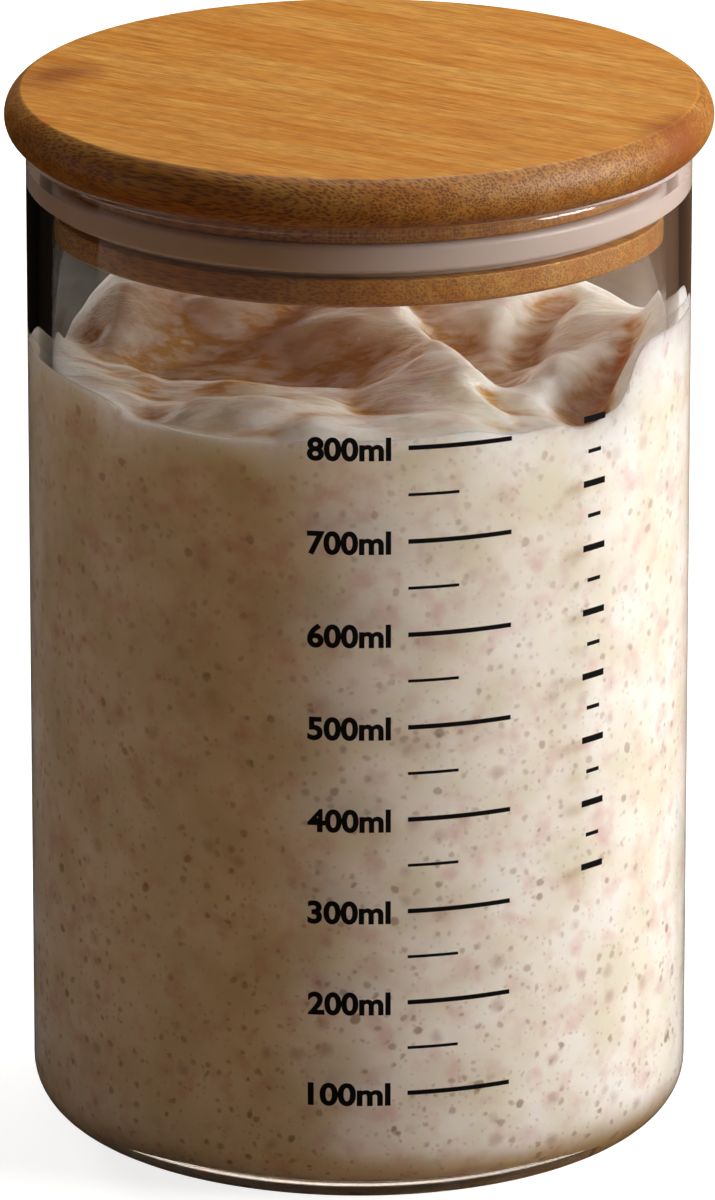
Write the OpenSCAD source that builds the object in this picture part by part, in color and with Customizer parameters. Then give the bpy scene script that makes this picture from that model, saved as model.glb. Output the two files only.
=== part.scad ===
// Straight-sided glass jar for sourdough starter, with a turned bamboo lid and a silicone seal.
// The origin is the centre of the circle that the jar stands on, and +Z is up the jar's axis.
// The front, where the volume scale is printed, faces -Y.

/* [Glass jar] */
// Outside diameter of the glass
glass_d = 100; // [90:0.5:120]
// Height of the glass from the table to the rim
glass_h = 153; // [130:1:200]
// Thickness of the side wall
wall_t = 3; // [2:0.1:4.5]
// Thickness of the floor above the standing ring
floor_t = 4; // [3:0.1:8]
// Radius of the outside corner between floor and wall
corner_r = 7.5; // [5:0.5:12]
// Width of the flat ring that the jar stands on
foot_w = 9; // [5:0.5:14]
// Depth of the dished recess under the floor
recess_depth = 1; // [0.5:0.1:1.8]
// Rounding of the fire-polished rim
rim_r = 1.2; // [0.6:0.05:1.4]

/* [Volume scale] */
// Volume between two long marks, in millilitres
step_ml = 100; // [50:50:200]
// Least height kept clear between the top mark and the plug
mark_clear = 12; // [6:0.5:20]
// Length of a long mark along the glass
long_mark = 16; // [10:0.5:24]
// Length of a short mark along the glass
short_mark = 7.7; // [4:0.1:12]
// Line height of a long mark
long_line = 0.7; // [0.4:0.05:1.2]
// Line height of a short mark
short_line = 0.45; // [0.3:0.05:0.8]
// Thickness of the fired ink on the glass
ink_t = 0.05; // [0.03:0.01:0.12]
// Angle from the front to where every mark begins
mark_turn = 8.3; // [0:0.1:30]

/* [Bamboo lid] */
// Width of the lid's edge that stands out past the glass
lid_overhang = 3.2; // [1:0.1:8]
// Thickness of the lid's top board
lid_t = 7.7; // [6:0.1:14]
// How far the rounded edge bulges past the flat faces
edge_bulge = 2.5; // [1:0.1:2.9]
// Gap between the rim and the underside of the top board
seat_gap = 0.1; // [0.05:0.01:0.3]

/* [Bamboo plug] */
// Depth that the plug reaches below the top board
plug_depth = 13; // [11.5:0.1:20]
// Height of the flange below the seal's groove
flange_h = 4.2; // [2.5:0.1:6]
// Gap between the flange and the bore of the glass
flange_gap = 0.6; // [0.3:0.05:1.5]
// Gap between the land above the seal and the bore of the glass
land_gap = 1.2; // [0.6:0.05:2]
// Chamfer round the bottom of the flange
flange_chamfer = 0.6; // [0.2:0.1:1.2]

/* [Silicone seal] */
// Height of the ring
seal_h = 5.2; // [4.6:0.1:6.5]
// Radial thickness of the ring, from its bore to the face of its lip
seal_w = 3.8; // [2.8:0.1:6]
// Radial thickness of the web behind the lip
web_w = 2; // [1.2:0.1:2.4]
// Height of the lip that faces the glass
lip_h = 4.2; // [2.6:0.1:4.5]
// Rounding of the lip's corners
lip_r = 0.8; // [0.4:0.05:1.2]
// Gap between the lip and the bore of the glass
lip_gap = 0.1; // [0.05:0.01:0.3]
// Clearance between the ring and its groove, on each side
groove_play = 0.06; // [0.03:0.01:0.1]

/* [Starter] */
// Height from the middle level of the starter to the plug
headspace = 21.6; // [14:0.1:60]
// Height of the largest fold above the middle level
fold_h = 8.6; // [2:0.1:10]
// Gap between the starter and the inside of the glass
fill_gap = 0.04; // [0.02:0.01:0.1]

/* [Hidden] */
$fn = 180;

// Glass
glass_r = glass_d / 2;
bore_r = glass_r - wall_t;
inner_corner_r = corner_r - wall_t + 0.5;
foot_in_r = glass_r - corner_r - foot_w;
recess_slope = 3;

// Lid, from the rim up and then from the rim down
lid_z = glass_h + seat_gap;
lid_r = glass_r + lid_overhang;
edge_arc_r = (pow(lid_t / 2, 2) + pow(edge_bulge, 2)) / (2 * edge_bulge);
plug_z = lid_z - plug_depth;
flange_r = bore_r - flange_gap;
land_r = bore_r - land_gap;

// Seal and the groove that holds it
seal_out_r = bore_r - lip_gap;
seal_in_r = seal_out_r - seal_w;
seal_z = plug_z + flange_h + groove_play;
groove_r = seal_in_r - groove_play;
groove_h = seal_h + 2 * groove_play;
lip_z = seal_h - lip_h;

// Volume marks stand where the liquid level would be
bore_area = PI * pow(bore_r, 2);
corner_loss = (1 - PI / 4) * pow(inner_corner_r, 2) * 2 * PI * bore_r;
marks = floor(((plug_z - mark_clear - floor_t) * bore_area - corner_loss) / (step_ml * 1000));
function mark_z(ml) = floor_t + (ml * 1000 + corner_loss) / bore_area;

// Starter
fill_r = bore_r - fill_gap;
fill_z = floor_t + fill_gap;
fill_corner_r = inner_corner_r - fill_gap;
level_z = plug_z - headspace;

// Each fold runs from one point to another, as shares of the bore, with +Y at the back.
// The third value is its height as a share of the largest fold, and the last is its half width in mm.
FOLDS = [
    [[0.88, -0.36], [0.97, 0.22], 1.00, 5.5],
    [[-0.96, 0.02], [-0.80, 0.56], 0.45, 9],
    [[0.60, 0.34], [0.78, 0.58], 0.46, 8],
    [[0.08, 0.48], [0.38, -0.20], 0.60, 6],
    [[0.50, -0.34], [0.84, 0.10], 0.40, 4.5],
    [[-0.94, -0.02], [-0.70, -0.46], 0.42, 5],
    [[-0.34, -0.80], [0.02, -0.88], 0.44, 6.5],
    [[-0.50, 0.40], [-0.10, 0.62], 0.42, 8],
    [[-0.30, 0.02], [0.10, -0.08], 0.26, 4],
    [[-0.62, -0.10], [-0.30, -0.40], -0.30, 8],
    [[-0.52, 0.14], [-0.16, 0.20], -0.32, 7],
    [[0.60, 0.18], [0.66, 0.24], -0.44, 6],
    [[0.76, -0.30], [0.70, -0.40], -0.46, 6],
    [[0.20, -0.62], [0.62, -0.62], -0.16, 7]
];

// Distance from point p to the line from a to b
function along(p, a, b) = max(0, min(1, ((p - a) * (b - a)) / ((b - a) * (b - a))));
function apart(p, a, b) = norm(p - a - along(p, a, b) * (b - a));
function fold_z(p, f) = f[2] * exp(-pow(apart(p, f[0] * bore_r, f[1] * bore_r) / f[3], 2));
function top_z(p, i = 0) = i == len(FOLDS) ? level_z : fold_h * fold_z(p, FOLDS[i]) + top_z(p, i + 1);

// The starter's skin is made of rings of points, from the middle of the floor to the middle of the top
RING_PTS = 60;
CORNER_RINGS = 4;
TOP_RINGS = 14;
function ring(r, z) = [for (k = [0 : RING_PTS - 1]) let (a = 360 * k / RING_PTS) [r * cos(a), r * sin(a), z]];
function surface_ring(r) = [
    for (k = [0 : RING_PTS - 1])
        let (a = 360 * k / RING_PTS, p = [r * cos(a), r * sin(a)]) [p.x, p.y, top_z(p)]
];
floor_rings = [
    for (k = [0 : CORNER_RINGS])
        let (a = 90 * k / CORNER_RINGS)
            ring(
                fill_r - fill_corner_r + fill_corner_r * sin(a),
                fill_z + fill_corner_r - fill_corner_r * cos(a)
            )
];
top_rings = [for (k = [0 : TOP_RINGS - 1]) surface_ring(fill_r * (1 - k / TOP_RINGS))];
skin_rings = concat(floor_rings, top_rings);
RINGS = len(skin_rings);
starter_points = concat(
    [[0, 0, fill_z]],
    [for (r = skin_rings) each r],
    [[0, 0, top_z([0, 0])]]
);
function at(i, k) = 1 + i * RING_PTS + k % RING_PTS;
last_point = len(starter_points) - 1;
starter_faces = concat(
    [for (k = [0 : RING_PTS - 1]) [0, at(0, k), at(0, k + 1)]],
    [
        for (i = [0 : RINGS - 2], k = [0 : RING_PTS - 1])
            each [[at(i, k), at(i + 1, k), at(i + 1, k + 1)], [at(i, k), at(i + 1, k + 1), at(i, k + 1)]]
    ],
    [for (k = [0 : RING_PTS - 1]) [last_point, at(RINGS - 1, k + 1), at(RINGS - 1, k)]]
);

// Flat outline with its outer corners rounded at the bottom by low_r and at the top by high_r
module round_side(r, h, low_r, high_r) {
    square([r - low_r, h / 2]);
    translate([0, h / 2]) square([r - high_r, h / 2]);
    translate([0, low_r]) square([r, h - low_r - high_r]);
    translate([r - low_r, low_r]) circle(low_r);
    translate([r - high_r, h - high_r]) circle(high_r);
}

// Half section of the glass, with a round edge on each side of the rim
module glass_section() {
    intersection() {
        difference() {
            round_side(glass_r, glass_h, corner_r, rim_r);
            translate([0, floor_t]) round_side(bore_r, glass_h * 2, inner_corner_r, inner_corner_r);
            polygon([
                [0, -1],
                [foot_in_r, -1],
                [foot_in_r, 0],
                [foot_in_r - recess_slope, recess_depth],
                [0, recess_depth]
            ]);
            translate([bore_r, glass_h - rim_r]) square([rim_r, rim_r * 2]);
        }
        square([glass_r, glass_h]);
    }
    intersection() {
        translate([bore_r + rim_r, glass_h - rim_r]) circle(rim_r);
        translate([bore_r, glass_h - rim_r]) square([rim_r, rim_r]);
    }
}

module glass_jar() {
    color("lightcyan", 0.35) rotate_extrude() glass_section();
}

module starter() {
    color("bisque") polyhedron(points = starter_points, faces = starter_faces, convexity = 6);
}

// One printed line on the outside of the glass, centred at height z
module mark(z, length, line) {
    turn = length / glass_r * 180 / PI;
    translate([0, 0, z - line / 2])
        rotate([0, 0, mark_turn - 90])
            rotate_extrude(angle = turn) translate([glass_r, 0]) square([ink_t, line]);
}

module volume_scale() {
    color("black") {
        for (k = [1 : marks]) mark(mark_z(k * step_ml), long_mark, long_line);
        for (k = [1 : marks - 1]) mark(mark_z((k + 0.5) * step_ml), short_mark, short_line);
    }
}

// Half section of the top board, whose edge is one arc between two flat faces
module lid_section() {
    intersection() {
        union() {
            square([lid_r - edge_arc_r, lid_t]);
            translate([lid_r - edge_arc_r, lid_t / 2]) circle(edge_arc_r);
        }
        square([lid_r, lid_t]);
    }
}

module lid_top() {
    color("peru") translate([0, 0, lid_z]) rotate_extrude() lid_section();
}

module lid_plug() {
    color("sienna")
        translate([0, 0, plug_z])
            rotate_extrude()
                difference() {
                    polygon([
                        [0, 0],
                        [flange_r - flange_chamfer, 0],
                        [flange_r, flange_chamfer],
                        [flange_r, flange_h],
                        [land_r, flange_h],
                        [land_r, plug_depth],
                        [0, plug_depth]
                    ]);
                    translate([groove_r, flange_h]) square([seal_w + groove_play, groove_h]);
                }
}

// Half section of the seal: a web that sits in the groove and a rounded lip that faces the glass
module seal_section() {
    square([web_w, seal_h]);
    translate([0, lip_z]) {
        square([seal_w - lip_r, lip_h]);
        translate([0, lip_r]) square([seal_w, lip_h - 2 * lip_r]);
        translate([seal_w - lip_r, lip_r]) circle(lip_r);
        translate([seal_w - lip_r, lip_h - lip_r]) circle(lip_r);
    }
}

module seal_ring() {
    color("thistle") translate([0, 0, seal_z]) rotate_extrude() translate([seal_in_r, 0]) seal_section();
}

glass_jar();
starter();
volume_scale();
lid_top();
lid_plug();
seal_ring();
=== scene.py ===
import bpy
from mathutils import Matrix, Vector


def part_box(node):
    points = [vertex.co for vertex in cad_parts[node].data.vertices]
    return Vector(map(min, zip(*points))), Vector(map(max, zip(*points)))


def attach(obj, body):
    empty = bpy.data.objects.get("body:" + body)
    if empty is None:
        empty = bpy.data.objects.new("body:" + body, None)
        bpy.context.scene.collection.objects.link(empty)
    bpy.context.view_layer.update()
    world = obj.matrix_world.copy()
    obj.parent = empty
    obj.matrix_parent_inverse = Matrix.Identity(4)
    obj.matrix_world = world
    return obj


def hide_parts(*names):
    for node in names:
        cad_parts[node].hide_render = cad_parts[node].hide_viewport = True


bl_info = {
    "name": "Starter Jar",
    "version": (1, 0, 0),
    "blender": (4, 5, 0),
    "location": "3D View > Sidebar > Starter Jar",
    "description": "Dresses a glass starter jar: vessel, dough, bamboo lid, seal and printed scale",
    "category": "Object",
}

import math

import bpy
import numpy as np
from bpy.props import FloatProperty, FloatVectorProperty, IntProperty, PointerProperty
from bpy.types import Operator, Panel, PropertyGroup
from mathutils import Vector, noise

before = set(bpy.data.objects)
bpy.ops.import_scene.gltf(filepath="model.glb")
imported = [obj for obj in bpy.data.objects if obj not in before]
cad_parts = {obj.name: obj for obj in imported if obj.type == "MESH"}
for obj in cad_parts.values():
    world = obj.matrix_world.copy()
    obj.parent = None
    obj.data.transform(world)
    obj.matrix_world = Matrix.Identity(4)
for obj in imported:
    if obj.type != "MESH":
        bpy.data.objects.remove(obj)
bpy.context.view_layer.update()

MM = 0.001


def round_size(node):
    """The radius that a round node's box holds in every direction."""
    low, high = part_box(node)
    return min(-low.x, high.x, -low.y, high.y)


# Sizes and places read from the frame
GLASS_R = round_size("glass_jar")
GLASS_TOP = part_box("glass_jar")[1].z
FILL_GAP = 0.04 * MM
BORE_R = round_size("starter") + FILL_GAP
FLOOR_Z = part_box("starter")[0].z - FILL_GAP
LID_R = round_size("lid_top")
LID_Z, LID_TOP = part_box("lid_top")[0].z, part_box("lid_top")[1].z
PLUG_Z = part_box("lid_plug")[0].z
FLANGE_R = round_size("lid_plug")
SEAL_Z, SEAL_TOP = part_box("seal_ring")[0].z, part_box("seal_ring")[1].z
SEAL_R = round_size("seal_ring")
MARKS_Z, MARKS_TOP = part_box("volume_scale")[0].z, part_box("volume_scale")[1].z

# The photograph's height, and the camera that the jar's outline in it fits
FRAME_HEIGHT_PX = 1200
FOCAL_PX = 10747
SIDE_OFFSET_PX = 1.6
CAMERA_DISTANCE = 1.633
CAMERA_ELEVATION = 18.1
AIM_HEIGHT = 0.0799
SENSOR_MM = 36

# Volumes on the printed scale
LONG_MARKS = 8
MARK_STEP_ML = 100


def linear(hex_colour):
    """An sRGB hex colour as linear red, green and blue."""
    parts = [int(hex_colour[i : i + 2], 16) / 255 for i in (1, 3, 5)]
    return tuple(p / 12.92 if p <= 0.04045 else ((p + 0.055) / 1.055) ** 2.4 for p in parts)


def colour(name, description, hex_colour):
    """A colour that a user can change."""
    return FloatVectorProperty(
        name=name, description=description, default=linear(hex_colour), subtype="COLOR", min=0, max=1
    )


def length(name, description, millimetres):
    """A size that a user can change, given in millimetres and kept in metres."""
    return FloatProperty(
        name=name, description=description, default=millimetres * MM, unit="LENGTH", precision=5
    )


def watts(name, description, power):
    """A lamp's power that a user can change."""
    return FloatProperty(name=name, description=description, default=power, min=0, unit="POWER")


def brightness(name, description, value):
    """A brightness between black and white that a user can change."""
    return FloatProperty(
        name=name, description=description, default=value, min=0, max=1, subtype="FACTOR"
    )


class StarterJarSizes(PropertyGroup):
    """Sizes that the frame doesn't give by itself."""

    corner: length("Glass corner", "Outside radius between floor and wall", 7.5)
    inner_corner: length("Inner corner", "Inside radius between floor and wall", 5.0)
    rim: length("Rim rounding", "Radius of the fire-polished rim", 1.2)
    foot_width: length("Standing ring", "Width of the flat ring that the jar stands on", 9)
    recess: length("Floor recess", "Depth of the dished recess under the floor", 1)
    recess_slope: length("Recess slope", "Width of the slope from ring to recess", 3)
    edge_bulge: length("Lid edge bulge", "How far the lid's edge bulges past its flat faces", 2.5)
    edge_ease: length("Lid edge easing", "Radius sanded onto the lid's two edges", 0.5)
    flange_height: length("Flange height", "Height of the plug's flange", 4.2)
    flange_chamfer: length("Flange chamfer", "Chamfer under the flange", 0.6)
    wood_ease: length("Plug easing", "Radius on the plug's turned edges", 0.3)
    land_gap: length("Land gap", "Gap between the plug's land and the bore", 1.2)
    seal_width: length("Seal width", "Radial thickness of the seal", 3.8)
    web_width: length("Web width", "Radial thickness of the web behind the lip", 2)
    lip_height: length("Lip height", "Height of the lip that faces the glass", 4.2)
    lip_rounding: length("Lip rounding", "Radius of the lip's corners", 0.8)
    lip_press: length("Lip pressed on glass", "How far the soft lip stands past its stand-in", 0.13)
    wetting: length("Wetting depth", "How far the dough wets into the glass, so that no air shows", 0.05)
    fold_height: length("Fold height", "Height of the largest fold in the dough", 8.6)
    headspace: length("Headspace", "From the dough's middle level to the plug", 21.6)
    figure_height: length("Figure height", "Height of the printed figures", 3.5)
    label_width: length("Label width", "Width of a whole label along the glass", 12.4)
    label_start: length("Label start", "Where the labels begin, along the glass from the front", -7.7)
    ink_thickness: length("Ink thickness", "Thickness of the fired print", 0.05)
    steps_around: IntProperty(name="Steps around", description="Faces round a turned piece", default=288)


class StarterJarColours(PropertyGroup):
    """Colours of the finishes, as they are in plain light, but for the dough's hollow tan, which is painted
    shade.
    """

    glass: colour("Glass", "Tint of the borosilicate glass", "#fbfcfb")
    dough: colour("Dough", "Body colour of the starter", "#f9f5f1")
    dough_rosy: colour("Dough, rosy", "Rosy mottling", "#e0c0bd")
    dough_olive: colour("Dough, olive", "Olive mottling", "#e4dfcb")
    # Painted shade: the tan laid in the dough's hollows and over the middle of its top
    dough_hollow_shade: colour("Dough, hollow", "Tan of the hollows between the folds", "#c8964f")
    bran: colour("Bran", "Flecks of bran", "#8a6347")
    bran_mauve: colour("Bran, mauve", "Larger flecks that lie deeper", "#a9877f")
    bamboo: colour("Bamboo", "Body colour of the carbonised bamboo", "#ce852a")
    bamboo_bundle: colour("Bamboo bundles", "Dark fibre bundles", "#964f12")
    bamboo_pith: colour("Bamboo pith", "Pale pith between the bundles", "#dca24c")
    # Laid over the whole turned edge, partly as end grain and partly as painted shade
    bamboo_end: colour("Bamboo end grain", "Fibre bundles cut across at the turned edge", "#4c2715")
    bamboo_knuckle: colour("Bamboo knuckle", "The stalk's knuckles", "#8a4516")
    silicone: colour("Silicone", "Milky silicone", "#c8b8b2")
    ink: colour("Ink", "Fired black ink", "#0d0c0c")


class StarterJarStage(PropertyGroup):
    """Strength of the lamps, and of the light that is everywhere."""

    key_power: watts("Key", "Softbox on the right", 12.5)
    high_power: watts("High", "Softbox over the key", 3.5)
    top_power: watts("Top", "Softbox overhead", 5.0)
    back_power: watts("Back", "Low softbox behind on the right", 8.0)
    rear_power: watts("Rear", "Low softbox behind on the left", 8.0)
    left_power: watts("Left", "Faint softbox on the left", 0.7)
    fill_level: brightness("Fill", "Brightness of the even fill light", 0.05)
    floor_glow: brightness("Floor", "White of the floor near the jar, without the lamps", 0.8)


def add_node(tree, kind, inputs=None, **settings):
    """Adds a node, sets its settings, and gives each named input a value or a link.

    A node that is given as a value stands for its first output.
    """
    node = tree.nodes.new(kind)
    for key, value in settings.items():
        setattr(node, key, value)
    for key, value in (inputs or {}).items():
        socket = node.inputs[key]
        if isinstance(value, bpy.types.Node):
            value = value.outputs[0]
        if isinstance(value, bpy.types.NodeSocket):
            tree.links.new(value, socket)
        elif socket.type == "RGBA" and len(value) == 3:
            socket.default_value = (*value, 1)
        else:
            socket.default_value = value
    return node


# Sockets of a colour Mix node, which share their names with its other kinds
MIX_A, MIX_B, MIX_OUT = 6, 7, 2


def layered(tree, shade, layers):
    """A colour with other colours laid over it in turn, each by its own share."""
    for share, tint in layers:
        layer = add_node(tree, "ShaderNodeMix", {0: share, MIX_A: shade, MIX_B: tint}, data_type="RGBA")
        shade = layer.outputs[MIX_OUT]
    return shade


def finish_named(name, finish, *values):
    """The material of that name, made the first time that it is asked for.

    Without other values, its finish is given the colours that a user can change.
    """
    material = bpy.data.materials.get(name)
    if not material:
        material = bpy.data.materials.new(name)
        material.use_nodes = True
        tree = material.node_tree
        tree.nodes.clear()
        shader = finish(tree, *(values or [bpy.context.scene.starter_jar_colours]))
        add_node(tree, "ShaderNodeOutputMaterial", {"Surface": shader})
    return material


def glass_finish(tree, colours):
    """Borosilicate glass, drawn and fire-polished: clear, hard and without texture."""
    clear = add_node(
        tree,
        "ShaderNodeBsdfPrincipled",
        {"Base Color": colours.glass, "Roughness": 0.0, "IOR": 1.474, "Transmission Weight": 1.0},
    )
    # Lamps and soft light reach the dough through the wall
    passing = add_node(tree, "ShaderNodeBsdfTransparent", {"Color": colours.glass})
    rays = add_node(tree, "ShaderNodeLightPath").outputs
    lit = add_node(
        tree, "ShaderNodeMath", {0: rays["Is Shadow Ray"], 1: rays["Is Diffuse Ray"]}, operation="MAXIMUM"
    )
    return add_node(tree, "ShaderNodeMixShader", {"Fac": lit, 1: clear, 2: passing})


def fleck_mask(tree, place, per_metre, least, most, softness, strength):
    """A mask of round flecks, one to a cell. Radii and the soft edge are shares of a cell."""
    cells = add_node(tree, "ShaderNodeTexVoronoi", {"Vector": place, "Scale": per_metre, "Randomness": 1.0})
    chance = add_node(tree, "ShaderNodeSeparateColor", {"Color": cells.outputs["Color"]})
    radius = add_node(tree, "ShaderNodeMapRange", {"Value": chance, "To Min": least, "To Max": most})
    depth = add_node(
        tree, "ShaderNodeMath", {0: radius, 1: cells.outputs["Distance"]}, operation="SUBTRACT"
    )
    return add_node(tree, "ShaderNodeMapRange", {"Value": depth, "From Max": softness, "To Max": strength})


def dough_finish(tree, colours):
    """Wet flour and water dough: creamy, mottled rosy and olive, flecked with bran, with tan painted shade
    in its hollows.
    """
    place = add_node(tree, "ShaderNodeTexCoord").outputs["Object"]
    hollow = add_node(tree, "ShaderNodeAttribute", attribute_name="hollow").outputs["Fac"]
    on_top = add_node(tree, "ShaderNodeAttribute", attribute_name="on_top").outputs["Fac"]
    layers = []

    # Mottling in patches of about 10 mm and 4 mm
    for per_metre, pale, full, strength, tint in (
        (90.0, 0.38, 0.66, 0.80, colours.dough_olive),
        (240.0, 0.50, 0.75, 0.65, colours.dough_rosy),
    ):
        patches = add_node(tree, "ShaderNodeTexNoise", {"Vector": place, "Scale": per_metre, "Detail": 2.0})
        share = add_node(
            tree,
            "ShaderNodeMapRange",
            {"Value": patches, "From Min": pale, "From Max": full, "To Max": strength},
        )
        layers.append((share, tint))

    # Ragged bran flecks of 0.5 to 2 mm, more of them towards the foot, and none in the skin on top
    ragged = add_node(tree, "ShaderNodeTexNoise", {"Vector": place, "Scale": 700.0, "Detail": 2.0})
    pushed = add_node(
        tree,
        "ShaderNodeVectorMath",
        {0: ragged.outputs["Color"], 1: (0.0011, 0.0011, 0.0009), 2: place},
        operation="MULTIPLY_ADD",
    )
    height = add_node(tree, "ShaderNodeSeparateXYZ", {"Vector": place}).outputs["Z"]
    settled = add_node(
        tree, "ShaderNodeMapRange", {"Value": height, "From Max": 0.1, "To Min": 1.0, "To Max": 0.5}
    )
    below = add_node(tree, "ShaderNodeMath", {0: settled, 1: on_top}, operation="SUBTRACT", use_clamp=True)
    for per_metre, least, most, softness, strength, tint in (
        (240.0, -0.10, 0.40, 0.25, 0.50, colours.bran_mauve),
        (1050.0, 0.00, 0.42, 0.25, 0.32, colours.bran),
        (560.0, -0.05, 0.44, 0.20, 0.50, colours.bran),
        (330.0, -0.50, 0.32, 0.10, 0.70, colours.bran),
    ):
        mask = fleck_mask(tree, pushed, per_metre, least, most, softness, strength)
        share = add_node(tree, "ShaderNodeMath", {0: mask, 1: below}, operation="MULTIPLY")
        layers.append((share, tint))

    # Wrinkles of 1 to 3 mm run from left to right over the top, and tan painted shade gathers in their
    # creases
    drawn = add_node(tree, "ShaderNodeMapping", {"Vector": place, "Scale": (0.4, 1.0, 1.0)})
    wrinkles = add_node(
        tree, "ShaderNodeTexNoise", {"Vector": drawn, "Scale": 480.0, "Detail": 4.0, "Roughness": 0.6}
    )
    crease_shade = add_node(
        tree,
        "ShaderNodeMapRange",
        {"Value": wrinkles, "From Min": 0.36, "From Max": 0.62, "To Min": 1.3, "To Max": 0.45},
    )
    tan = add_node(tree, "ShaderNodeMath", {0: crease_shade, 1: hollow}, operation="MULTIPLY")
    layers.append((tan, colours.dough_hollow_shade))
    raised = add_node(tree, "ShaderNodeMath", {0: wrinkles, 1: on_top}, operation="MULTIPLY")
    relief = add_node(tree, "ShaderNodeBump", {"Strength": 0.8, "Distance": 0.0009, "Height": raised})

    # The open top is wet and shines, the side is held flat by the glass
    sheen = add_node(tree, "ShaderNodeMapRange", {"Value": on_top, "To Min": 0.6, "To Max": 0.34})
    # Light wanders far through the bulk, and less under the drier skin on top
    depth = add_node(tree, "ShaderNodeMapRange", {"Value": on_top, "To Min": 0.7, "To Max": 0.4})
    return add_node(
        tree,
        "ShaderNodeBsdfPrincipled",
        {
            "Base Color": layered(tree, colours.dough, layers),
            "Roughness": sheen,
            "IOR": 1.42,
            "Subsurface Weight": depth,
            "Subsurface Radius": (1.0, 0.82, 0.62),
            "Subsurface Scale": 0.018,
            "Normal": relief,
        },
    )


# The bamboo's grain, in the plane of the lid
GRAIN_ANGLE = math.radians(33)
# Knuckles of two strips: place along the grain, place across it, half length, half width
KNUCKLES = [(-0.0415, -0.0186, 0.0065, 0.010), (0.0520, 0.0077, 0.0060, 0.011)]


def bamboo_finish(tree, colours):
    """Carbonised, laminated bamboo, sanded and oiled: streaked along the grain, dotted on its ends."""
    place = add_node(tree, "ShaderNodeTexCoord").outputs["Object"]
    turned = add_node(tree, "ShaderNodeMapping", {"Vector": place, "Rotation": (0, 0, GRAIN_ANGLE)})
    # Fibres wander a little off the straight
    drift = add_node(tree, "ShaderNodeTexNoise", {"Vector": turned, "Scale": 28.0, "Detail": 2.0})
    grain = add_node(
        tree,
        "ShaderNodeVectorMath",
        {0: drift.outputs["Color"], 1: (0.0, 0.0012, 0.0008), 2: turned},
        operation="MULTIPLY_ADD",
    )
    stretched = add_node(tree, "ShaderNodeMapping", {"Vector": grain, "Scale": (0.1, 1.0, 1.0)})

    # Pale pith in broad bands
    broad = add_node(tree, "ShaderNodeTexNoise", {"Vector": stretched, "Scale": 230.0, "Detail": 3.0})
    pith = add_node(tree, "ShaderNodeMapRange", {"Value": broad, "From Min": 0.36, "From Max": 0.66})
    # Fibre bundles about 0.4 mm apart: dots on the end grain, dashes on the flat faces
    bundles = add_node(
        tree, "ShaderNodeTexVoronoi", {"Vector": stretched, "Scale": 2700.0, "Randomness": 0.8}
    )
    cores = add_node(
        tree,
        "ShaderNodeMapRange",
        {"Value": bundles, "From Min": 0.2, "From Max": 0.6, "To Min": 1.0, "To Max": 0.0},
    )
    streaks = add_node(
        tree, "ShaderNodeTexNoise", {"Vector": stretched, "Scale": 900.0, "Detail": 5.0, "Roughness": 0.75}
    )
    dark = add_node(
        tree, "ShaderNodeMapRange", {"Value": streaks, "From Min": 0.42, "From Max": 0.66, "To Max": 0.5}
    )
    marks = add_node(tree, "ShaderNodeMath", {0: cores, 1: 0.32, 2: dark}, operation="MULTIPLY_ADD")
    # The turned edge cuts the bundles across, and is darker all over, partly as oiled end grain and partly
    # as painted shade
    edge = add_node(tree, "ShaderNodeAttribute", attribute_name="turned_edge").outputs["Fac"]
    soaked_and_shaded = add_node(tree, "ShaderNodeMath", {0: cores, 1: 0.42, 2: 0.36}, operation="MULTIPLY_ADD")
    oiled = add_node(tree, "ShaderNodeMath", {0: soaked_and_shaded, 1: edge}, operation="MULTIPLY")
    layers = [(pith, colours.bamboo_pith), (marks, colours.bamboo_bundle), (oiled, colours.bamboo_end)]

    # Knuckles, where the fibres cross and the wood is darker
    for along, across, half_length, half_width in KNUCKLES:
        spot = add_node(
            tree,
            "ShaderNodeMapping",
            {
                "Vector": grain,
                "Location": (-along / half_length, -across / half_width, 0),
                "Scale": (1 / half_length, 1 / half_width, 0),
            },
        )
        reach = add_node(tree, "ShaderNodeVectorMath", {0: spot}, operation="LENGTH").outputs["Value"]
        patch = add_node(
            tree,
            "ShaderNodeMapRange",
            {"Value": reach, "From Min": 0.2, "From Max": 1.1, "To Min": 1.5, "To Max": 0.0},
        )
        broken = add_node(tree, "ShaderNodeMath", {0: patch, 1: streaks}, operation="MULTIPLY")
        layers.append((broken, colours.bamboo_knuckle))

    relief = add_node(
        tree, "ShaderNodeBump", {"Strength": 0.6, "Distance": 0.00008, "Height": marks}, invert=True
    )
    wear = add_node(tree, "ShaderNodeMapRange", {"Value": streaks, "To Min": 0.4, "To Max": 0.6})
    shade = layered(tree, colours.bamboo, layers)
    return add_node(
        tree,
        "ShaderNodeBsdfPrincipled",
        {"Base Color": shade, "Roughness": wear, "IOR": 1.45, "Normal": relief},
    )


def silicone_finish(tree, colours):
    """Compression-moulded silicone rubber: milky, soft and faintly dusty."""
    place = add_node(tree, "ShaderNodeTexCoord").outputs["Object"]
    dust = add_node(tree, "ShaderNodeTexNoise", {"Vector": place, "Scale": 600.0, "Detail": 4.0})
    dull = add_node(tree, "ShaderNodeMapRange", {"Value": dust, "To Min": 0.3, "To Max": 0.5})
    relief = add_node(tree, "ShaderNodeBump", {"Strength": 0.25, "Distance": 0.00005, "Height": dust})
    return add_node(
        tree,
        "ShaderNodeBsdfPrincipled",
        {
            "Base Color": colours.silicone,
            "Roughness": dull,
            "IOR": 1.41,
            "Subsurface Weight": 0.35,
            "Subsurface Radius": (1.0, 0.9, 0.85),
            "Subsurface Scale": 0.002,
            "Normal": relief,
        },
    )


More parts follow.
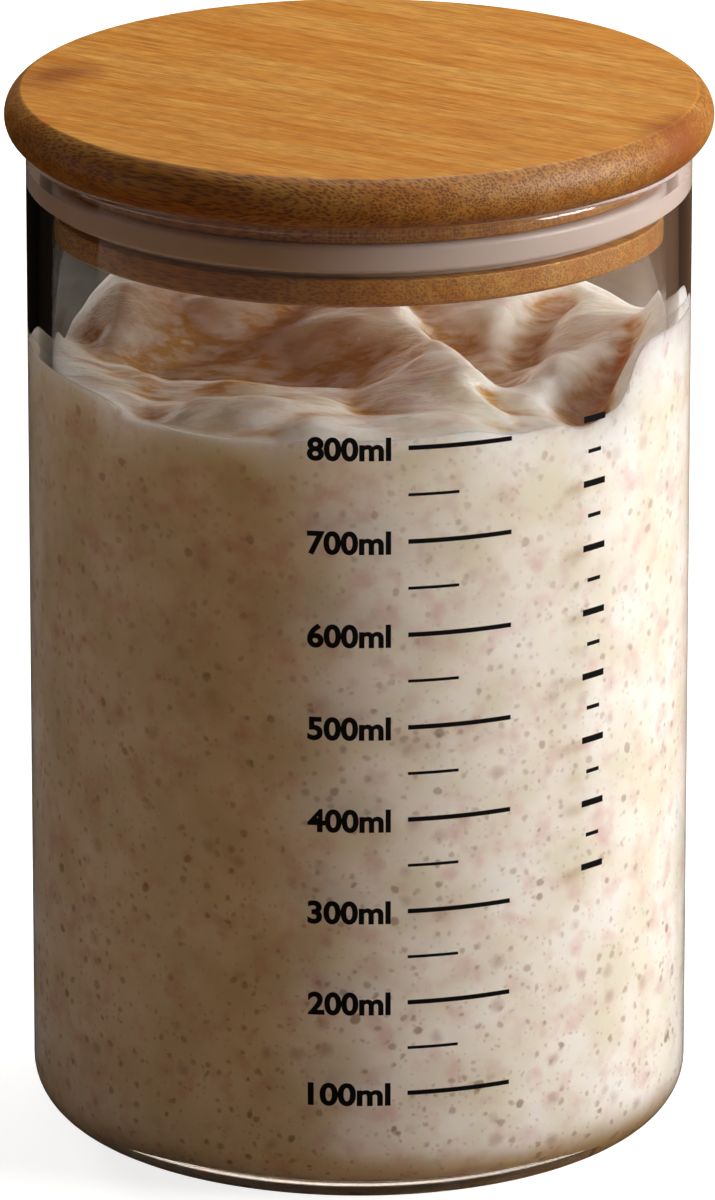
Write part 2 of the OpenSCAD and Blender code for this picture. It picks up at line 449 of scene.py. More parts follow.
def ink_finish(tree, colours):
    """Screen-printed ceramic ink, fired onto the glass: black, thin and slightly uneven."""
    place = add_node(tree, "ShaderNodeTexCoord").outputs["Object"]
    mesh_marks = add_node(tree, "ShaderNodeTexNoise", {"Vector": place, "Scale": 2500.0, "Detail": 2.0})
    dull = add_node(tree, "ShaderNodeMapRange", {"Value": mesh_marks, "To Min": 0.3, "To Max": 0.5})
    return add_node(
        tree,
        "ShaderNodeBsdfPrincipled",
        {"Base Color": colours.ink, "Roughness": dull, "IOR": 1.5, "Specular IOR Level": 0.15},
    )


def eased(corners, steps=10):
    """An outline through (radius, height, rounding) corners, with each corner rounded by an arc."""
    outline = []
    for i, (r, z, rounding) in enumerate(corners):
        here = Vector((r, z))
        if not rounding:
            outline.append(here)
            continue
        before = (Vector(corners[i - 1][:2]) - here).normalized()
        after = (Vector(corners[(i + 1) % len(corners)][:2]) - here).normalized()
        half = before.angle(after) / 2
        reach = rounding / math.tan(half)
        centre = here + (before + after).normalized() * (rounding / math.sin(half))
        first, last = here + before * reach - centre, here + after * reach - centre
        sweep = first.angle_signed(last)
        turn = math.atan2(first.y, first.x)
        for k in range(steps + 1):
            a = turn - sweep * k / steps
            outline.append(centre + Vector((math.cos(a), math.sin(a))) * rounding)
    return outline


def turned_skin(tree, given):
    """Geometry Nodes that turn an outline, the seed, round the jar's axis."""
    path = add_node(
        tree,
        "GeometryNodeCurvePrimitiveCircle",
        {"Resolution": given["Steps around"], "Radius": given["Path radius"]},
    )
    outline = add_node(tree, "GeometryNodeMeshToCurve", {"Mesh": given["Seed"]})
    skin = add_node(tree, "GeometryNodeCurveToMesh", {"Curve": path, "Profile Curve": outline})
    # The axis is one point, not a ring of them
    closed = add_node(tree, "GeometryNodeMergeByDistance", {"Geometry": skin, "Distance": 1e-6})
    return add_node(tree, "GeometryNodeSetShadeSmooth", {"Geometry": closed})


def column_of_bars(tree, given):
    """Geometry Nodes that draw a flat column of like bars, with the ink's thickness in z."""
    step = add_node(tree, "ShaderNodeCombineXYZ", {"Y": given["Pitch"]})
    rungs = add_node(tree, "GeometryNodeMeshLine", {"Count": given["Count"], "Offset": step})
    size = add_node(
        tree,
        "ShaderNodeCombineXYZ",
        {"X": given["Bar length"], "Y": given["Bar height"], "Z": given["Ink thickness"]},
    )
    # Enough points along a bar for it to follow the round of the glass
    bar = add_node(tree, "GeometryNodeMeshCube", {"Size": size, "Vertices X": 17})
    bars = add_node(tree, "GeometryNodeInstanceOnPoints", {"Points": rungs, "Instance": bar})
    return add_node(tree, "GeometryNodeRealizeInstances", {"Geometry": bars})


# The input socket that takes each kind of value
SOCKETS = {int: "NodeSocketInt", float: "NodeSocketFloat", bpy.types.Material: "NodeSocketMaterial"}


def made_by_nodes(name, seed, shape, values):
    """A plain mesh object that Geometry Nodes make from a seed mesh and named values.

    One tree serves all pieces of a shape, and is made for the first of them.
    """
    tree = bpy.data.node_groups.get(shape.__name__)
    if not tree:
        tree = bpy.data.node_groups.new(shape.__name__, "GeometryNodeTree")
        tree.interface.new_socket(name="Seed", in_out="INPUT", socket_type="NodeSocketGeometry")
        for key, value in values.items():
            tree.interface.new_socket(name=key, in_out="INPUT", socket_type=SOCKETS[type(value)])
        tree.interface.new_socket(name="Piece", in_out="OUTPUT", socket_type="NodeSocketGeometry")
        given = add_node(tree, "NodeGroupInput").outputs
        skin = {"Geometry": shape(tree, given), "Material": given["Finish"]}
        add_node(tree, "NodeGroupOutput", {"Piece": add_node(tree, "GeometryNodeSetMaterial", skin)})
    source = bpy.data.objects.new(name + "_source", seed)
    bpy.context.scene.collection.objects.link(source)
    modifier = source.modifiers.new("nodes", "NODES")
    modifier.node_group = tree
    sockets = {s.name: s.identifier for s in tree.interface.items_tree if s.in_out == "INPUT"}
    for key, value in values.items():
        modifier[sockets[key]] = value
    return new_object(name, plain_mesh(source))


def plain_mesh(source):
    """The mesh that an object's modifiers or type come to. The object itself is removed."""
    depsgraph = bpy.context.evaluated_depsgraph_get()
    mesh = bpy.data.meshes.new_from_object(source.evaluated_get(depsgraph))
    bpy.data.objects.remove(source)
    return mesh


def new_object(name, mesh):
    """An object at the origin that shows the mesh."""
    mesh.name = name
    piece = bpy.data.objects.new(name, mesh)
    bpy.context.scene.collection.objects.link(piece)
    return piece


def turned_piece(name, outline, finish, closed=False):
    """A piece turned round the jar's axis from an outline of radius and height."""
    path_radius = GLASS_R
    points = [(p.x - path_radius, -p.y, 0) for p in reversed(outline)]
    edges = [(i, i + 1) for i in range(len(points) - 1)]
    if closed:
        edges.append((len(points) - 1, 0))
    seed = bpy.data.meshes.new(name + "_outline")
    seed.from_pydata(points, edges, [])
    values = {
        "Steps around": bpy.context.scene.starter_jar_sizes.steps_around,
        "Path radius": path_radius,
        "Finish": finish,
    }
    return made_by_nodes(name, seed, turned_skin, values)


class STARTERJAR_OT_glass(Operator):
    """Blown glass vessel with a rounded corner, a dished floor and a fire-polished rim."""

    bl_idname = "starter_jar.glass"
    bl_label = "Glass jar"

    def execute(self, context):
        s = context.scene.starter_jar_sizes
        foot_in = GLASS_R - s.corner - s.foot_width
        outline = eased(
            [
                (0, s.recess, 0),
                (foot_in - s.recess_slope, s.recess, 2 * MM),
                (foot_in, 0, 1 * MM),
                (GLASS_R, 0, s.corner),
                (GLASS_R, GLASS_TOP, s.rim),
                (BORE_R, GLASS_TOP, s.rim),
                (BORE_R, FLOOR_Z, s.inner_corner),
                (0, FLOOR_Z, 0),
            ],
            steps=14,
        )
        piece = turned_piece("blown_glass_jar", outline, finish_named("borosilicate_glass", glass_finish))
        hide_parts("glass_jar")
        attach(piece, "jar")
        return {"FINISHED"}


# Folds in the dough's top: start, middle and end of the ridge, its height as a share of the
# largest, and its half widths to the left and to the right of that way, in mm.
# Places are shares of the bore, with +Y at the back. A hollow has a negative height.
FOLDS = [
    # The shelf against the glass on the right, and the big lobes at the back
    ((0.88, -0.46), (1.00, -0.24), (1.00, 0.04), 1.00, 4.5, 9.0),
    ((0.38, 0.62), (0.72, 0.46), (0.93, 0.12), 0.42, 6.0, 14.0),
    ((-0.02, 0.52), (0.12, 0.10), (0.35, -0.46), 0.50, 4.2, 12.0),
    ((-0.50, 0.34), (-0.28, 0.54), (0.02, 0.58), 0.64, 9.0, 9.0),
    ((-0.80, 0.26), (-0.74, 0.54), (-0.50, 0.72), 0.74, 7.0, 11.0),
    # The sheet on the right, the bump at the left and the sheets behind it
    ((0.56, -0.42), (0.73, -0.24), (0.91, 0.05), 0.36, 6.0, 2.6),
    ((-1.00, -0.04), (-0.94, -0.26), (-0.80, -0.50), 0.30, 6.0, 9.0),
    ((-0.80, 0.06), (-0.74, -0.12), (-0.68, -0.34), 0.16, 2.2, 3.0),
    # Lobes and strings in front
    ((-0.46, -0.70), (-0.28, -0.76), (-0.14, -0.66), 0.34, 5.0, 5.0),
    ((-0.08, -0.84), (0.08, -0.92), (0.26, -0.86), 0.24, 6.0, 6.0),
    ((-0.40, -0.38), (-0.10, -0.32), (0.20, -0.46), 0.12, 3.4, 2.2),
    ((0.10, -0.60), (0.34, -0.54), (0.56, -0.58), 0.14, 3.4, 2.2),
    # Hollows: the stirred middle, the groove and the dimple, and the caves at the glass
    ((-0.56, -0.04), (-0.30, -0.12), (0.00, -0.22), -0.40, 9.0, 9.0),
    ((0.30, 0.12), (0.42, -0.12), (0.48, -0.36), -0.34, 4.0, 5.0),
    ((0.50, 0.00), (0.57, 0.20), (0.66, 0.36), -0.40, 4.0, 4.0),
    ((0.66, -0.54), (0.72, -0.42), (0.80, -0.27), -0.36, 4.0, 4.0),
    ((0.71, -0.73), (0.68, -0.68), (0.65, -0.60), -0.14, 3.0, 3.0),
    ((-1.00, 0.14), (-0.98, 0.22), (-0.96, 0.28), -0.14, 5.0, 5.0),
]
FOLD_STEPS = 12
# A fold's foot stands this many half widths from its ridge
FOLD_REACH = 1.35

# Lumps, strings and threads on the folds: width in the pattern of one metre across and its slant,
# share of the folds' wander, how many to a metre, slice of the noise, and height in mm
LUMPS = [
    (0.6, 0.30, 1.0, 90, 1.3, 1.50),
    (0.4, -0.20, 1.0, 230, 5.9, 0.90),
    (0.3, 0.15, 0.5, 430, 8.2, 0.45),
]
MEAN_LUMP = 1.4

# Nothing runs straight: how far the folds wander, and how many such bends there are to a metre
WANDER = 2.2 * MM
BENDS_PER_METRE = 60

# Slices of the smooth noise, one for each thing that it shapes
WANDER_X_SLICE, WANDER_Y_SLICE = 3.1, 7.7
SHADED_MIDDLE_SLICE, STREAK_SLICE, WRINKLE_SLICE = 9.4, 6.6, 4.4

# The map that the surface is worked out on, and how far soft dough slumps on it
MAP_CELLS = 260
MAP_MARGIN = 2 * MM
SLUMP = 0.7 * MM


def fold_height(x, y, start, middle, end, left, right):
    """Height of one rounded fold, 1 along its ridge, over arrays of places in shares of the bore."""
    t = np.linspace(0, 1, FOLD_STEPS + 1)[:, None]
    start, middle, end = (np.array(p) for p in (start, middle, end))
    way = (1 - t) ** 2 * start + 2 * t * (1 - t) * middle + t**2 * end
    height = np.zeros_like(x)
    for (ax, ay), (bx, by) in zip(way[:-1], way[1:]):
        dx, dy = bx - ax, by - ay
        along = np.clip(((x - ax) * dx + (y - ay) * dy) / (dx * dx + dy * dy), 0, 1)
        apart = np.hypot(x - ax - along * dx, y - ay - along * dy)
        on_left = dx * (y - ay) - dy * (x - ax) > 0
        half_width = np.where(on_left, left, right) * FOLD_REACH * MM / BORE_R
        height = np.maximum(height, 1 - (apart / half_width) ** 2)
    return height


def noise_at(x, y, per_metre, slice_z):
    """Smooth noise between -1 and 1 over arrays of places."""
    places = zip((x * per_metre).ravel().tolist(), (y * per_metre).ravel().tolist())
    return np.array([noise.noise(Vector((px, py, slice_z))) for px, py in places]).reshape(x.shape)


def lumps_at(x, y, per_metre, slice_z):
    """Rounded lumps with creases between them, 1 on a lump and 0 in a crease."""
    places = zip((x * per_metre).ravel().tolist(), (y * per_metre).ravel().tolist())
    apart = np.array([noise.voronoi(Vector((px, py, slice_z)))[0][0] for px, py in places])
    return np.maximum(1 - (apart.reshape(x.shape) / 0.8) ** 2, 0)


def smoothed(surface, cells):
    """A square map blurred over so many cells each way."""
    for _ in range(3):
        for axis in (0, 1):
            surface = (np.roll(surface, cells, axis) + surface + np.roll(surface, -cells, axis)) / 3
    return surface


def read_map(values, line, x, y):
    """Values of a square map at arrays of places, read between its cells."""
    step = line[1] - line[0]
    column = np.clip((x - line[0]) / step, 0, len(line) - 1.001)
    row = np.clip((y - line[0]) / step, 0, len(line) - 1.001)
    c, r = column.astype(int), row.astype(int)
    u, v = column - c, row - r
    near = values[r, c] * (1 - u) + values[r, c + 1] * u
    far = values[r + 1, c] * (1 - u) + values[r + 1, c + 1] * u
    return near * (1 - v) + far * v


def folded_height(x, y):
    """Height of the folded dough over arrays of places, before it slumps smooth."""
    s = bpy.context.scene.starter_jar_sizes
    wander_x = WANDER * noise_at(x, y, BENDS_PER_METRE, WANDER_X_SLICE)
    wander_y = WANDER * noise_at(x, y, BENDS_PER_METRE, WANDER_Y_SLICE)
    u, v = (x + wander_x) / BORE_R, (y + wander_y) / BORE_R
    # Folds lie over one another, so the highest one shows, and hollows are sunk between them
    folds, hollows = np.zeros_like(x), np.zeros_like(x)
    for start, middle, end, share, left, right in FOLDS:
        fold = share * fold_height(u, v, start, middle, end, left, right)
        folds = np.maximum(folds, fold)
        hollows = np.minimum(hollows, fold)
    lumps = np.zeros_like(x)
    for drawn, slant, sway, per_metre, slice_z, height in LUMPS:
        across, along = drawn * x + sway * wander_x, y + slant * x + sway * wander_y
        lumps += height * lumps_at(across, along, per_metre, slice_z)
    # The glass holds the dough beside it nearly smooth
    gap = np.maximum(BORE_R - np.hypot(x, y), 0)
    held = np.clip(gap / (7 * MM), 0.12, 1)
    level = PLUG_Z - s.headspace + s.fold_height * (folds + hollows)
    return level + held * MM * (lumps - MEAN_LUMP)


def dough_top(x, y):
    """Height of the open surface over arrays of places, and how much tan painted shade each place has, 0 to
    1.
    """
    line = np.linspace(-1, 1, MAP_CELLS) * (BORE_R + MAP_MARGIN)
    step = line[1] - line[0]
    surface = smoothed(folded_height(*np.meshgrid(line, line)), round(SLUMP / step))
    # Narrow and wide hollows, each wholly tan painted shade from its own depth
    hollow = np.zeros_like(surface)
    for width, depth in ((1.2 * MM, 0.3 * MM), (4 * MM, 1.8 * MM)):
        deep = (smoothed(surface, round(width / step)) - surface) / depth
        hollow = np.maximum(hollow, np.clip(deep, 0, 1))
    # The stirred middle, left of the axis, has tan painted shade in streaks, and the rest a little
    middle = np.hypot((x + 18 * MM) / (37 * MM), (y + 6 * MM) / (32 * MM))
    shaded_middle = np.clip(1.5 - 1.4 * middle + 0.7 * noise_at(0.5 * x, y, 110, SHADED_MIDDLE_SLICE), 0.12, 1)
    gap = np.maximum(BORE_R - np.hypot(x, y), 0)
    inside = np.clip(gap / (4 * MM), 0, 1)
    streaks = np.clip(0.65 + 0.9 * noise_at(0.3 * x, y, 290, STREAK_SLICE), 0, 1)
    tan = np.clip(0.8 * read_map(hollow, line, x, y) + 0.9 * shaded_middle * streaks, 0, 1) * inside
    # Fine wrinkles run from left to right
    wrinkles = MM * (0.12 + 0.3 * shaded_middle) * noise_at(0.35 * x, y, 330, WRINKLE_SLICE) * inside
    # The dough climbs a little where it wets the glass
    return read_map(surface, line, x, y) + wrinkles + 0.9 * MM * np.exp(-gap / (1.3 * MM)), tan


class STARTERJAR_OT_dough(Operator):
    """Sourdough starter: wetted against the glass, with a stirred and folded top."""

    bl_idname = "starter_jar.dough"
    bl_label = "Starter"

    AROUND = 600
    TOP_RINGS = 120
    SIDE_RINGS = 6
    CORNER_RINGS = 6
    # The side ends this far below the top's edge
    EDGE_STEP = 0.25 * MM

    def execute(self, context):
        s = context.scene.starter_jar_sizes
        skin_r = BORE_R + s.wetting
        floor_z = FLOOR_Z - s.wetting
        corner = s.inner_corner
        turn = np.linspace(0, 2 * math.pi, self.AROUND, endpoint=False)
        ring_x, ring_y = np.cos(turn), np.sin(turn)

        # The open top, from the glass inwards
        radii = skin_r * (1 - np.arange(self.TOP_RINGS) / self.TOP_RINGS)
        x, y = np.outer(radii, ring_x), np.outer(radii, ring_y)
        z, hollow = dough_top(x, y)

        # The floor's corner and the side, up to the line where the top meets the glass
        rings = []
        for k in range(self.CORNER_RINGS + 1):
            a = math.pi / 2 * k / self.CORNER_RINGS
            r = skin_r - corner + corner * math.sin(a)
            height = np.full(self.AROUND, floor_z + corner - corner * math.cos(a))
            rings.append((r * ring_x, r * ring_y, height))
        side_foot, side_top = floor_z + corner, z[0] - self.EDGE_STEP
        for k in range(1, self.SIDE_RINGS + 1):
            height = side_foot + (side_top - side_foot) * k / self.SIDE_RINGS
            rings.append((skin_r * ring_x, skin_r * ring_y, height))
        side_count = len(rings)
        rings += [(x[k], y[k], z[k]) for k in range(self.TOP_RINGS)]

        points = [(0, 0, floor_z)]
        for rx, ry, rz in rings:
            points += zip(rx.tolist(), ry.tolist(), rz.tolist())
        points.append((0, 0, float(z[-1].mean())))
        n, last = self.AROUND, len(points) - 1
        faces = []
        for i in range(len(rings) - 1):
            for k in range(n):
                a, b = 1 + i * n + k, 1 + i * n + (k + 1) % n
                faces.append((a, b, b + n, a + n))
        for k in range(n):
            faces.append((0, 1 + (k + 1) % n, 1 + k))
            faces.append((last, last - n + k, last - n + (k + 1) % n))
        mesh = bpy.data.meshes.new("folded_starter")
        mesh.from_pydata(points, [], faces)
        mesh.polygons.foreach_set("use_smooth", [True] * len(mesh.polygons))

        tops = np.zeros(len(points))
        tops[1 + side_count * n :] = 1
        # The top's tan painted shade goes into the "hollow" attribute
        painted_shade = np.zeros(len(points))
        painted_shade[1 + side_count * n : -1] = hollow.ravel()
        for name, values in (("on_top", tops), ("hollow", painted_shade)):
            mesh.attributes.new(name, "FLOAT", "POINT").data.foreach_set("value", values.tolist())

        mesh.materials.append(finish_named("sourdough_starter", dough_finish))
        piece = new_object("folded_starter", mesh)
        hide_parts("starter")
        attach(piece, "jar")
        return {"FINISHED"}


def mark_turned_edge(piece, flat_radius, strength):
    """Marks the points on a bamboo piece's turned edge with how clearly its cut bundles show, and how far
    painted shade darkens it.
    """
    fade = 0.4 * MM
    shares = [
        strength * min(max((math.hypot(v.co.x, v.co.y) - flat_radius) / fade, 0), 1)
        for v in piece.data.vertices
    ]
    piece.data.attributes.new("turned_edge", "FLOAT", "POINT").data.foreach_set("value", shares)


class STARTERJAR_OT_lid_top(Operator):
    """Turned bamboo board with a rounded edge."""

    bl_idname = "starter_jar.lid_top"
    bl_label = "Lid top"

    EDGE_STEPS = 22

    def execute(self, context):
        s = context.scene.starter_jar_sizes
        thick = LID_TOP - LID_Z
        arc_r = ((thick / 2) ** 2 + s.edge_bulge**2) / (2 * s.edge_bulge)
        half_sweep = math.asin(thick / 2 / arc_r)
        centre_r, centre_z = LID_R - arc_r, LID_Z + thick / 2
        corners = [(0, LID_Z, 0)]
        for k in range(self.EDGE_STEPS + 1):
            a = half_sweep * (2 * k / self.EDGE_STEPS - 1)
            ease = s.edge_ease if k in (0, self.EDGE_STEPS) else 0
            corners.append((centre_r + arc_r * math.cos(a), centre_z + arc_r * math.sin(a), ease))
        corners.append((0, LID_TOP, 0))
        piece = turned_piece(
            "bamboo_lid_top", eased(corners, steps=5), finish_named("carbonised_bamboo", bamboo_finish)
        )
        mark_turned_edge(piece, LID_R - s.edge_bulge, strength=1.0)
        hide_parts("lid_top")
        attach(piece, "lid")
        return {"FINISHED"}


class STARTERJAR_OT_lid_plug(Operator):
    """Turned bamboo plug: land, groove for the seal, and flange."""

    bl_idname = "starter_jar.lid_plug"
    bl_label = "Lid plug"

    def execute(self, context):
        s = context.scene.starter_jar_sizes
        play = SEAL_Z - PLUG_Z - s.flange_height
        groove_z = PLUG_Z + s.flange_height
        groove_r = SEAL_R - s.seal_width - play
        land_z = SEAL_TOP + play
        land_r = BORE_R - s.land_gap
        ease = s.wood_ease
        outline = eased(
            [
                (0, PLUG_Z, 0),
                (FLANGE_R - s.flange_chamfer, PLUG_Z, ease),
                (FLANGE_R, PLUG_Z + s.flange_chamfer, ease),
                (FLANGE_R, groove_z, ease),
                (groove_r, groove_z, ease / 3),
                (groove_r, land_z, ease / 3),
                (land_r, land_z, ease),
                (land_r, LID_Z, 0),
                (0, LID_Z, 0),
            ],
            steps=5,
        )
        piece = turned_piece("bamboo_lid_plug", outline, finish_named("carbonised_bamboo", bamboo_finish))
        # The plug's land and flange, under the lid, are darkened partly with painted shade
        mark_turned_edge(piece, groove_r - 0.5 * MM, strength=0.7)
        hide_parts("lid_plug")
        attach(piece, "lid")
        return {"FINISHED"}


class STARTERJAR_OT_seal(Operator):
    """Moulded silicone ring whose lip is pressed flat on the glass."""

    bl_idname = "starter_jar.seal"
    bl_label = "Seal ring"

    def execute(self, context):
        s = context.scene.starter_jar_sizes
        inside = SEAL_R - s.seal_width
        web = inside + s.web_width
        lip_r = SEAL_R + s.lip_press
        lip_z = SEAL_TOP - s.lip_height
        soft = 0.25 * MM
        outline = eased(
            [
                (inside, SEAL_Z, soft),
                (web, SEAL_Z, soft),
                (web, lip_z, soft),
                (lip_r, lip_z, s.lip_rounding),
                (lip_r, SEAL_TOP, s.lip_rounding),
                (inside, SEAL_TOP, soft),
            ],
            steps=8,
        )
        piece = turned_piece(
            "silicone_seal_ring", outline, finish_named("milky_silicone", silicone_finish), closed=True
        )
        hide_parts("seal_ring")
        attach(piece, "seal")
        return {"FINISHED"}


def wrap_on_glass(mesh, along, height, ink_thickness):
    """Wraps a flat print, drawn in x and y with its depth in z, round the front of the glass."""
    for vertex in mesh.vertices:
        turn = (along + vertex.co.x) / GLASS_R
        radius = GLASS_R + ink_thickness / 2 + vertex.co.z
        vertex.co = (radius * math.sin(turn), -radius * math.cos(turn), height + vertex.co.y)


class STARTERJAR_OT_scale(Operator):
    """Fired ink marks of the frame, with the volume printed beside each long one."""

    bl_idname = "starter_jar.scale"
    bl_label = "Volume scale"

    # Thickness of a long mark's line
    LONG_LINE = 0.7 * MM
    # Digits are 0.73 of the type's size, and the type is set narrow and bold
    DIGIT_SHARE = 0.73
    BOLDNESS = 0.034

    def execute(self, context):
        s = context.scene.starter_jar_sizes
        finish = finish_named("fired_black_ink", ink_finish)
        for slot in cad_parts["volume_scale"].material_slots:
            slot.material = finish

        lowest = MARKS_Z + self.LONG_LINE / 2
        pitch = (MARKS_TOP - MARKS_Z - self.LONG_LINE) / (LONG_MARKS - 1)
        for k in range(LONG_MARKS):
            volume = (k + 1) * MARK_STEP_ML
            mesh = self.label(f"{volume}ml", s)
            wrap_on_glass(mesh, s.label_start, lowest + k * pitch - s.figure_height / 2, s.ink_thickness)
            mesh.materials.append(finish)
            piece = new_object(f"label_{volume}", mesh)
            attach(piece, "jar")
        return {"FINISHED"}

    def label(self, words, s):
        """A flat, closed mesh of the words, as wide and as high as the print on the glass."""
        curve = bpy.data.curves.new("label_type", "FONT")
        curve.body = words
        curve.size = s.figure_height / self.DIGIT_SHARE
        curve.offset = self.BOLDNESS * curve.size
        curve.extrude = s.ink_thickness / 2
        curve.resolution_u = 6
        holder = bpy.data.objects.new("label_type", curve)
        bpy.context.scene.collection.objects.link(holder)
        mesh = plain_mesh(holder)
        xs = [v.co.x for v in mesh.vertices]
        narrow = s.label_width / (max(xs) - min(xs))
        for vertex in mesh.vertices:
            vertex.co.x = (vertex.co.x - min(xs)) * narrow
        return mesh


class STARTERJAR_OT_ruler(Operator):
    """A plain height ruler in the same ink, in centimetres and half centimetres."""

    bl_idname = "starter_jar.ruler"
    bl_label = "Height ruler"

    PITCH = 10 * MM
    # Where the ruler runs, along the glass from the front
    ALONG = 38.5 * MM

    def execute(self, context):
        s = context.scene.starter_jar_sizes
        for name, count, lowest, bar_length, bar_height in (
            ("ruler_centimetres", 8, 50 * MM, 4.4 * MM, 1.0 * MM),
            ("ruler_halves", 7, 55 * MM, 2.6 * MM, 0.6 * MM),
        ):
            values = {
                "Count": count,
                "Pitch": self.PITCH,
                "Bar length": bar_length,
                "Bar height": bar_height,
                "Ink thickness": s.ink_thickness,
                "Finish": finish_named("fired_black_ink", ink_finish),
            }
            piece = made_by_nodes(name, bpy.data.meshes.new(name + "_seed"), column_of_bars, values)
            wrap_on_glass(piece.data, self.ALONG, lowest, s.ink_thickness)
            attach(piece, "jar")
        return {"FINISHED"}


def background_rays(tree):
    """1 for the rays that see the background as white: the camera's, mirrored and through glass."""
    rays = add_node(tree, "ShaderNodeLightPath").outputs
    seen = rays["Is Camera Ray"]
    for other in (rays["Is Transmission Ray"], rays["Is Glossy Ray"]):
        seen = add_node(tree, "ShaderNodeMath", {0: seen, 1: other}, operation="MAXIMUM")
    return seen


def floor_finish(tree, stage):
    """Matt studio floor: white to look at, and a warm bounce light for the jar."""
    matt = add_node(tree, "ShaderNodeBsdfDiffuse", {"Color": linear("#b0aeab")})
    # Behind the lamps, where their light doesn't reach, the floor's own white takes over
    place = add_node(tree, "ShaderNodeTexCoord").outputs["Object"]
    away = add_node(tree, "ShaderNodeVectorMath", {0: place}, operation="LENGTH").outputs["Value"]
    level = add_node(
        tree,
        "ShaderNodeMapRange",
        {"Value": away, "From Min": 0.5, "From Max": 1.1, "To Min": stage.floor_glow, "To Max": 1.0},
    )
    glow = add_node(tree, "ShaderNodeEmission", {"Color": (1.0, 1.0, 1.0), "Strength": level})
    white = add_node(tree, "ShaderNodeAddShader", {0: matt, 1: glow})
    warm = add_node(tree, "ShaderNodeBsdfDiffuse", {"Color": linear("#9c7850")})
    return add_node(tree, "ShaderNodeMixShader", {"Fac": background_rays(tree), 1: warm, 2: white})


def glowing_card_finish(tree, left_hex, right_hex):
    """Card that glows with painted light, shaded from left to right, keeping its tone wherever the lamps
    stand.
    """
    place = add_node(tree, "ShaderNodeTexCoord").outputs["Object"]
    across = add_node(tree, "ShaderNodeSeparateXYZ", {"Vector": place}).outputs["X"]
    share = add_node(tree, "ShaderNodeMapRange", {"Value": across, "From Min": -0.03, "From Max": 0.04})
    shade = layered(tree, linear(left_hex), [(share, linear(right_hex))])
    return add_node(tree, "ShaderNodeEmission", {"Color": shade, "Strength": 1.0})


def studio_world(stage):
    """A low white cyclorama under a dark studio ceiling, and a dim, warm fill on the object."""
    world = bpy.data.worlds.new("studio")
    world.use_nodes = True
    tree = world.node_tree
    tree.nodes.clear()
    way = add_node(tree, "ShaderNodeTexCoord").outputs["Generated"]
    upward = add_node(tree, "ShaderNodeSeparateXYZ", {"Vector": way}).outputs["Z"]
    cyclorama = add_node(
        tree,
        "ShaderNodeMapRange",
        {"Value": upward, "From Min": 0.02, "From Max": 0.16, "To Min": 1.0, "To Max": 0.05},
    )
    camera = add_node(tree, "ShaderNodeLightPath").outputs["Is Camera Ray"]
    level = add_node(tree, "ShaderNodeMath", {0: cyclorama, 1: camera}, operation="MAXIMUM")
    warm = linear("#ffd4a6")
    fill = add_node(tree, "ShaderNodeBackground", {"Color": warm, "Strength": stage.fill_level})
    white = add_node(tree, "ShaderNodeBackground", {"Color": (1.0, 1.0, 1.0), "Strength": level})
    sky = add_node(tree, "ShaderNodeMixShader", {"Fac": background_rays(tree), 1: fill, 2: white})
    add_node(tree, "ShaderNodeOutputWorld", {"Surface": sky})
    return world


def square(half, height):
    """Corners of a level square about the jar's axis."""
    return [(-half, -half, height), (half, -half, height), (half, half, height), (-half, half, height)]


def stage_sheet(name, finish, corners):
    """A flat sheet of the stage."""
    mesh = bpy.data.meshes.new(name)
    mesh.from_pydata(corners, [], [(0, 1, 2, 3)])
    mesh.materials.append(finish)
    sheet = new_object(name, mesh)
    return sheet


def stage_card(name, finish, corners, mirrored=True, through=True):
    """A card that is seen only in reflections, through the glass, or both."""
    card = stage_sheet(name, finish, corners)
    card.visible_camera = card.visible_diffuse = card.visible_shadow = False
    card.visible_glossy, card.visible_transmission = mirrored, through


def stand_off(holder, azimuth, elevation, distance):
    """Stands a lamp or camera off the jar, facing it. Azimuth 0 is the front, and 90 is the right."""
    bpy.context.scene.collection.objects.link(holder)
    a, e = math.radians(azimuth), math.radians(elevation)
    away = Vector((math.sin(a) * math.cos(e), -math.cos(a) * math.cos(e), math.sin(e)))
    holder.location = Vector((0, 0, AIM_HEIGHT)) + away * distance
    holder.rotation_mode = "QUATERNION"
    holder.rotation_quaternion = away.to_track_quat("Z", "Y")


def softbox(name, azimuth, elevation, distance, size, power, mirrored):
    """A square lamp that faces the jar, and shows in reflections or doesn't."""
    lamp = bpy.data.lights.new(name, "AREA")
    lamp.size = size
    lamp.energy = power
    holder = bpy.data.objects.new(name, lamp)
    stand_off(holder, azimuth, elevation, distance)
    holder.visible_camera = False
    holder.visible_glossy = mirrored


